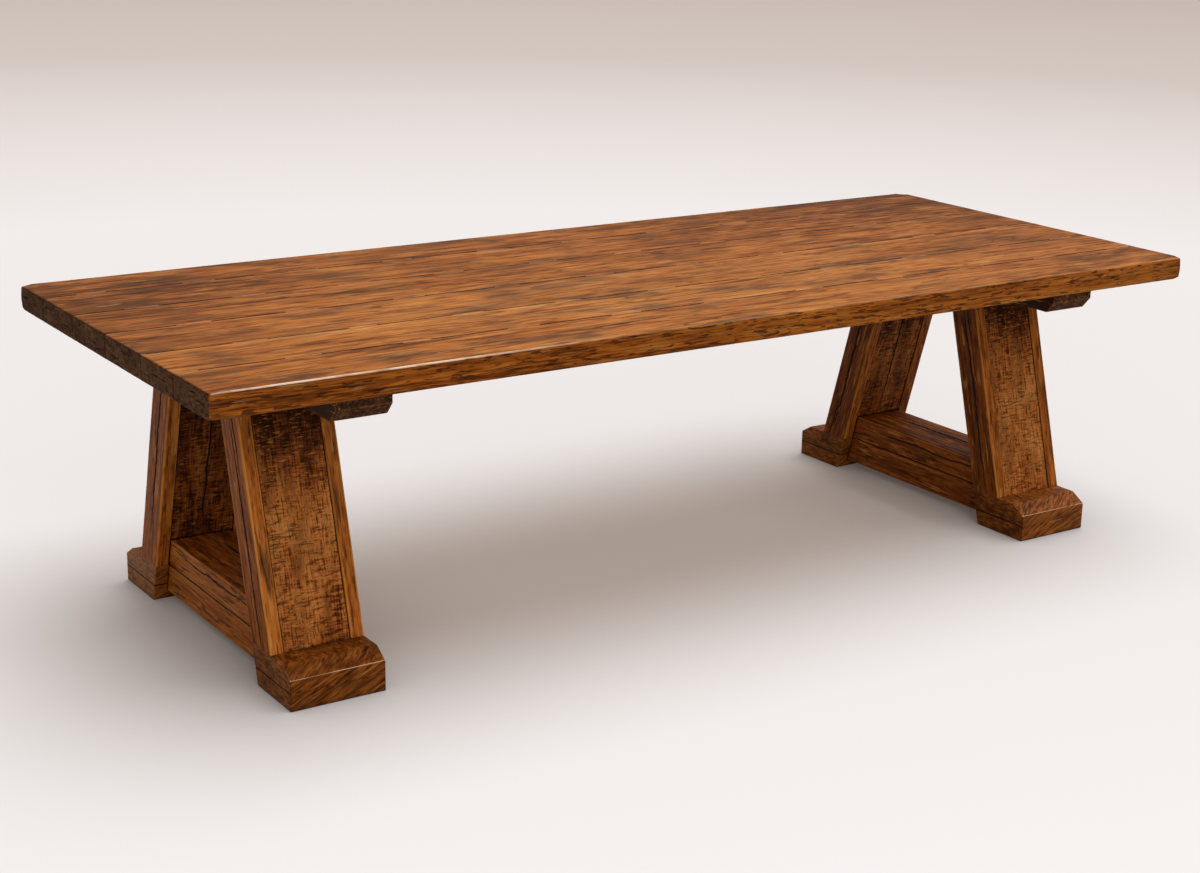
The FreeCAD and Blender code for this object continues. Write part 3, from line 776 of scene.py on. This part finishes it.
def make_panel(blank, leg, position, side, facing):
    node = f"{leg}_{position}"
    inner = position == "inner_panel"
    # the inner panel is the outer one turned round and set behind it
    panel = copy_of(blank, f"{node}_oak", (facing < 0) != inner, X * side * TRESTLE_X)
    if inner:
        move(panel, 0, "Z", Y * -facing * LEG_DEPTH)
    displace(panel, *TORN_FIBRES)
    displace(panel, *SAW_MARKS)
    if inner:
        middle = Vector((side * TRESTLE_X, -facing * (LEG_DEPTH - PANEL_RECESS), LEG_LENGTH / 2))
        split(panel, middle, Z, X, PANEL_CHECK_LENGTH, *PANEL_CHECK_SECTION)
    stand_leg(panel, facing, TOP_UNDERSIDE)
    # flat triangles leave a clean edge where the notch is cut
    bpy.ops.object.mode_set(mode="EDIT")
    bpy.ops.mesh.select_all(action="SELECT")
    bpy.ops.mesh.quads_convert_to_tris()
    close()
    low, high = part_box("bearer_left" if side < 0 else "bearer_right")
    notch = new_block("notch", low, high + Z * NOTCH_SPARE)
    close()
    notch.data.materials.append(SAWN_OAK)
    cut_away(panel, notch)
    panel_tone = (INNER_PANEL_SHADE if inner else 0) + (RIGHT_PANEL_TONE if side > 0 else 0)

    def tone(point):
        return panel_tone + np.interp(point.z, PANEL_HEIGHTS, PANEL_LIGHT_AND_SHADE_UP)

    def wear_and_highlight(point, normal):
        return 0.0

    flats = (X, leg_axis(facing), leg_normal(facing), Z)
    paint(panel, leg_axis(facing), X, flats, tone, wear_and_highlight)
    fit(panel, node)


def make_legs():
    stile_blank, panel_blank = make_leg_blanks()
    for side_name, side in SIDES:
        for face_name, facing in FACES:
            leg = f"leg_{face_name}_{side_name}"
            for position in ("outboard_stile", "inboard_stile"):
                make_stile(stile_blank, leg, position, side, facing)
            for position in ("outer_panel", "inner_panel"):
                make_panel(panel_blank, leg, position, side, facing)
    bpy.data.objects.remove(stile_blank)
    bpy.data.objects.remove(panel_blank)


make_legs()

# Feet, beams and bearers: each is modelled in the front or on the left and copied to its other places.
# The grain of a foot rises in X.
FOOT_GRAIN_RISE = math.radians(24)
FOOT_GRAIN = Vector((math.cos(FOOT_GRAIN_RISE), 0, math.sin(FOOT_GRAIN_RISE)))
FRONT_FOOT_TONES = {"left": 0.34, "right": 0.40}
BACK_FOOT_TONE = 0.50
# The sides of a foot are paler than its toe and top on the left trestle, as painted light, and darker on
# the right, as painted shade
FOOT_SIDE_LIGHT_AND_SHADE = {"left": 0.12, "right": -0.05}
# The seam of a foot is closed for this length at the toe
CLOSED_SEAM = 10 * MM
SEAM_DIRT = -0.9
FOOT_WEAR, FOOT_CORNER_DIRT, TOE_HIGHLIGHT = 0.1, -0.6, 0.8
# The right beam is darker than the left, as painted shade under the table, and the tops of the layers
# darker still
BEAM_LIT_AND_SHADED_TONES = {"left": 0.78, "right": 0.58}
BEAM_TOP_SHADE = -0.28
UPPER_BEAM_WEAR_AND_HIGHLIGHT, LOWER_BEAM_WEAR = 0.6, 0.1
# Where the checks in a beam lie: beside the middle of its top and below the top of its side
BEAM_TOP_CHECK_ASIDE, BEAM_TOP_CHECK_REACH = 20 * MM, 60 * MM
BEAM_SIDE_CHECK_DROP, BEAM_SIDE_CHECK_REACH = 24 * MM, 40 * MM
BEARER_TONE, BEARER_WEAR = 0.1, 0.15


def inner_foot_line(facing):
    """Where the leg's inner face meets the top of the foot."""
    return Vector((0, facing * (LEG_SPREAD - LEG_DEPTH / math.cos(LEG_LEAN)), FOOT_TOP))


def make_foot_layer(layer):
    low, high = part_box(f"foot_front_left_{layer}")
    toe, toe_edge = low.y, FOOT_TOP - TOE_BEVEL.z
    toe_normal = Vector((0, -TOE_BEVEL.z, TOE_BEVEL.y)).normalized()
    blank = new_block(f"foot_{layer}_blank", low, high)
    blank.data.materials.append(FOOT_OAK)
    saw(inner_foot_line(-1), -leg_normal(-1))
    if layer == "upper":
        saw(Vector((0, toe, high.z - TOE_BEVEL.z)), toe_normal)

    def at_seam(point):
        return abs(point.z - FOOT_SEAM) < FLUSH

    # the seam is closed at the toe and shows as a line on the sides
    ease(FOOT_ARRIS, 2, lambda middle, run: not at_seam(middle))
    ease(FOOT_ARRIS, 1, lambda middle, run: at_seam(middle) and abs(middle.y - toe) > CLOSED_SEAM)
    for axis in (X, Y, Z):
        score(axis, BLOCK_STEP)
    close()
    for side_name, side in SIDES:
        for face_name, facing in FACES:
            node = f"foot_{face_name}_{side_name}_{layer}"
            turned = facing > 0
            start = TRESTLE_X if turned else -TRESTLE_X
            foot = copy_of(blank, f"{node}_oak", turned, X * (side * TRESTLE_X - start))
            displace(foot, *FOOT_WAVES)
            foot_tone = BACK_FOOT_TONE if turned else FRONT_FOOT_TONES[side_name]

            def tone(point):
                on_side = abs(point.x - side * TRESTLE_X) > (high.x - low.x) / 2 - FLUSH
                return foot_tone + (FOOT_SIDE_LIGHT_AND_SHADE[side_name] if on_side else 0)

            def wear_and_highlight(point, normal):
                """The upper edge of the toe gets a pale painted highlight. Dirt stays in the seam and at
                the corners.
                """
                if abs(point.z - FOOT_SEAM) < SEAM_REACH:
                    return SEAM_DIRT
                if abs(point.y) < abs(toe) - EDGE_REACH:
                    return FOOT_WEAR
                return TOE_HIGHLIGHT if abs(point.z - toe_edge) < EDGE_REACH else FOOT_CORNER_DIRT

            flats = (X, Y, Z, toe_normal, toe_normal * Vector((1, -1, 1)), leg_normal(facing))
            paint(foot, FOOT_GRAIN, Y, flats, tone, wear_and_highlight)
            fit(foot, node)
    bpy.data.objects.remove(blank)


def make_beam_layer(layer, depth_into_leg):
    low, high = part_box(f"beam_left_{layer}")
    blank = new_block(f"beam_{layer}_blank", low, high)
    blank.data.materials.append(TRESTLE_OAK)
    for face_name, facing in FACES:
        saw(inner_foot_line(facing) + leg_normal(facing) * depth_into_leg, leg_normal(facing))
    ease(BEAM_ARRIS, 2)
    for axis in (X, Y, Z):
        score(axis, BLOCK_STEP)
    close()
    for side_name, side in SIDES:
        node = f"beam_{side_name}_{layer}"
        beam = copy_of(blank, f"{node}_oak", False, X * (side + 1) * TRESTLE_X)
        displace(beam, *BEAM_WAVES)
        if layer == "upper":
            x = side * TRESTLE_X + BEAM_TOP_CHECK_ASIDE
            y = random.uniform(-BEAM_TOP_CHECK_REACH, BEAM_TOP_CHECK_REACH)
            middle = Vector((x, y, high.z))
            split(beam, middle, Y, X, BEAM_TOP_CHECK_LENGTH, *BEAM_TOP_CHECK_SECTION)
            x = side * TRESTLE_X - (high.x - low.x) / 2
            y = random.uniform(-BEAM_SIDE_CHECK_REACH, BEAM_SIDE_CHECK_REACH)
            middle = Vector((x, y, high.z - BEAM_SIDE_CHECK_DROP))
            split(beam, middle, Y, Z, BEAM_SIDE_CHECK_LENGTH, *BEAM_SIDE_CHECK_SECTION)

        def tone(point):
            """The top of each layer is darker than its sides, as painted shade."""
            return BEAM_LIT_AND_SHADED_TONES[side_name] + (BEAM_TOP_SHADE if point.z > high.z - FLUSH else 0)

        def wear_and_highlight(point, normal):
            """The upper edges are rubbed and given painted highlights, and dirt stays in the seam between
            the layers.
            """
            if abs(point.z - FOOT_TOP) < SEAM_REACH:
                return SEAM_DIRT
            return UPPER_BEAM_WEAR_AND_HIGHLIGHT if point.z > FOOT_TOP else LOWER_BEAM_WEAR

        flats = (X, Y, Z, leg_normal(1), leg_normal(-1))
        paint(beam, Y, X, flats, tone, wear_and_highlight)
        fit(beam, node)
    bpy.data.objects.remove(blank)


def make_bearers():
    low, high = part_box("bearer_left")
    rise, run = BEARER_BEVEL.z, BEARER_BEVEL.y
    bevel_normals = [Vector((0, facing * rise, -run)).normalized() for face_name, facing in FACES]
    blank = new_block("bearer_blank", low, high)
    blank.data.materials.append(TRESTLE_OAK)
    for end, normal in zip((low.y, high.y), bevel_normals):
        saw(Vector((0, end, low.z + BEARER_BEVEL.z)), normal)
    ease(BEAM_ARRIS, 2)
    score(Y, BEARER_STEP)
    score(X, BEARER_STEP)
    close()
    for side_name, side in SIDES:
        node = f"bearer_{side_name}"
        bearer = copy_of(blank, f"{node}_oak", side > 0, ORIGIN)
        displace(bearer, *BEAM_WAVES)
        for number in range(1, BOARD_COUNT + 1):
            board_low, board_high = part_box(f"top_board_{number}")
            place = (-side * (low.x + high.x) / 2, (board_low.y + board_high.y) / 2, low.z)
            bpy.ops.object.select_all(action="DESELECT")
            bpy.ops.mesh.primitive_cylinder_add(
                vertices=32, radius=BORE_RADIUS, depth=2 * BORE_DEPTH, location=place,
            )
            bore = bpy.context.object
            bore.data.materials.append(CHECK_SHADOW)
            cut_away(bearer, bore)
        flats = (X, Y, Z, *bevel_normals)
        paint(bearer, Y, X, flats, lambda point: BEARER_TONE, lambda point, normal: BEARER_WEAR)
        fit(bearer, node)
    bpy.data.objects.remove(blank)


for layer in ("lower", "upper"):
    make_foot_layer(layer)
make_beam_layer("lower", 0)
make_beam_layer("upper", PANEL_RECESS)
make_bearers()

# Fittings that keep their own shape
for name in ("top_screws", "top_washers"):
    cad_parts[name].material_slots[0].material = ZINC_STEEL
for number in range(1, BOARD_COUNT):
    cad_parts[f"top_tongue_{number}"].material_slots[0].material = BIRCH

# Floor, light and camera
FLOOR_SIZE = 160
FLOOR_DROP = 0.5 * MM
# Shades of the floor, as shares of this distance from the table
FLOOR_FADE = 20
FLOOR_SHADES = [(0.1, "#e7ebef"), (0.25, "#eaeef1"), (0.42, "#dbdbde"), (0.6, "#c6c3c4"), (1.0, "#b7b3b4")]
FLOOR_GLOW = "#f5c499"
SHADOW_REACH = 0.6
ROOM_STRENGTH = 0.28
ROOM_WALL = "#cbbbb4"
CEILING_TILT = math.radians(16)
CEILING_SPREAD = math.radians(60)
CEILING_STRENGTH = 2.4
SOFTBOX_PLACE = Vector((-1.8, -5.8, 2.9))
SOFTBOX_AIM = Vector((0, 0, 0.4))
SOFTBOX_SIZE = (4.0, 4.5)
SOFTBOX_WATTS = 85
CAMERA_PLACE = (-2.9346, -4.2195, 1.8473)
CAMERA_HEADING = math.radians(-33.93)
CAMERA_TILT = math.radians(73.432)
CAMERA_ROLL = math.radians(1.176)
PHOTO_WIDTH_PIXELS = 1200
FOCAL_PIXELS = 2055.6


def in_view(tree):
    """One for rays from the camera, straight or by way of gloss or glass, and zero for all others."""
    rays = add(tree, "LightPath", {})
    direct_or_gloss = {0: rays["Is Camera Ray"], 1: rays["Is Glossy Ray"]}
    seen = add(tree, "Math", direct_or_gloss, operation="MAXIMUM")[0]
    return add(tree, "Math", {0: seen, 1: rays["Is Transmission Ray"]}, operation="MAXIMUM")[0]


def make_floor():
    """Pale seamless floor that darkens far away. The camera sees it brighter than the table does."""
    bpy.ops.object.select_all(action="DESELECT")
    bpy.ops.mesh.primitive_plane_add(size=FLOOR_SIZE, location=(0, 0, -FLOOR_DROP))
    floor = bpy.context.object
    floor.name = "studio_floor"
    material, tree = new_material("studio_floor_paint")
    place = add(tree, "TexCoord", {})["Object"]
    away = add(tree, "VectorMath", {0: place}, operation="LENGTH")["Value"]
    away = add(tree, "Math", {0: away, 1: 1 / FLOOR_FADE}, operation="MULTIPLY")[0]
    colour = add(tree, "ValToRGB", {0: away}, FLOOR_SHADES)[0]
    seen = in_view(tree)
    share = add(tree, "MapRange", {"Value": seen, "To Min": 0.38, "To Max": 0.72})[0]
    diffuse = add(tree, "VectorMath", {0: colour, "Scale": share}, operation="SCALE")[0]
    # the glow fades under the legs and beams, as a painted contact shadow where they touch the floor
    occlusion_for_shade = add(tree, "AmbientOcclusion", {"Distance": SHADOW_REACH}, samples=8)["AO"]
    glow = add(tree, "MapRange", {"Value": occlusion_for_shade, "From Min": 0.45, "To Min": 0.08, "To Max": 0.32})[0]
    glow = add(tree, "Math", {0: seen, 1: glow}, operation="MULTIPLY")[0]
    warm = add(tree, "Mix", {FACTOR: 0.6, UNDER: colour, OVER: linear(FLOOR_GLOW)}, data_type="RGBA")[MIXED]
    shader = add(tree, "BsdfPrincipled", {
        "Base Color": diffuse, "Roughness": 0.9, "Specular IOR Level": 0.0,
        "Emission Color": warm, "Emission Strength": glow,
    })[0]
    add(tree, "OutputMaterial", {0: shader})
    floor.data.materials.append(material)


def make_light():
    """Soft light from a wide ceiling, a softbox in front and a dim room, whose wall looks pale."""
    world = bpy.data.worlds.new("studio")
    world.use_nodes = True
    bpy.context.scene.world = world
    tree = world.node_tree
    tree.nodes.clear()
    room = add(tree, "Background", {"Color": linear("#ffffff"), "Strength": ROOM_STRENGTH})[0]
    wall = add(tree, "Background", {"Color": linear(ROOM_WALL), "Strength": 1.0})[0]
    shown = add(tree, "MixShader", {0: in_view(tree), 1: room, 2: wall})[0]
    add(tree, "OutputWorld", {0: shown})
    bpy.ops.object.light_add(type="SUN")
    ceiling = bpy.context.object
    ceiling.name = "soft_ceiling"
    ceiling.rotation_euler.y = CEILING_TILT
    ceiling.data.energy = CEILING_STRENGTH
    ceiling.data.angle = CEILING_SPREAD
    bpy.ops.object.light_add(type="AREA", location=SOFTBOX_PLACE)
    softbox = bpy.context.object
    softbox.name = "front_softbox"
    softbox.rotation_euler = (SOFTBOX_AIM - SOFTBOX_PLACE).to_track_quat("-Z", "Y").to_euler()
    softbox.data.shape = "RECTANGLE"
    softbox.data.size, softbox.data.size_y = SOFTBOX_SIZE
    softbox.data.energy = SOFTBOX_WATTS
    softbox.visible_camera = False


def make_camera():
    """Camera of the photograph, found from the table's corners in it."""
    bpy.ops.object.camera_add()
    camera = bpy.context.object
    camera.data.sensor_width = 36
    camera.data.lens = FOCAL_PIXELS / PHOTO_WIDTH_PIXELS * camera.data.sensor_width
    camera.data.clip_end = 300
    heading = Matrix.Rotation(CAMERA_HEADING, 4, "Z")
    tilt = Matrix.Rotation(CAMERA_TILT, 4, "X")
    roll = Matrix.Rotation(CAMERA_ROLL, 4, "Z")
    camera.matrix_world = Matrix.Translation(CAMERA_PLACE) @ heading @ tilt @ roll
    bpy.context.scene.camera = camera


make_floor()
make_light()
make_camera()
bpy.context.scene.view_settings.view_transform = "Standard"
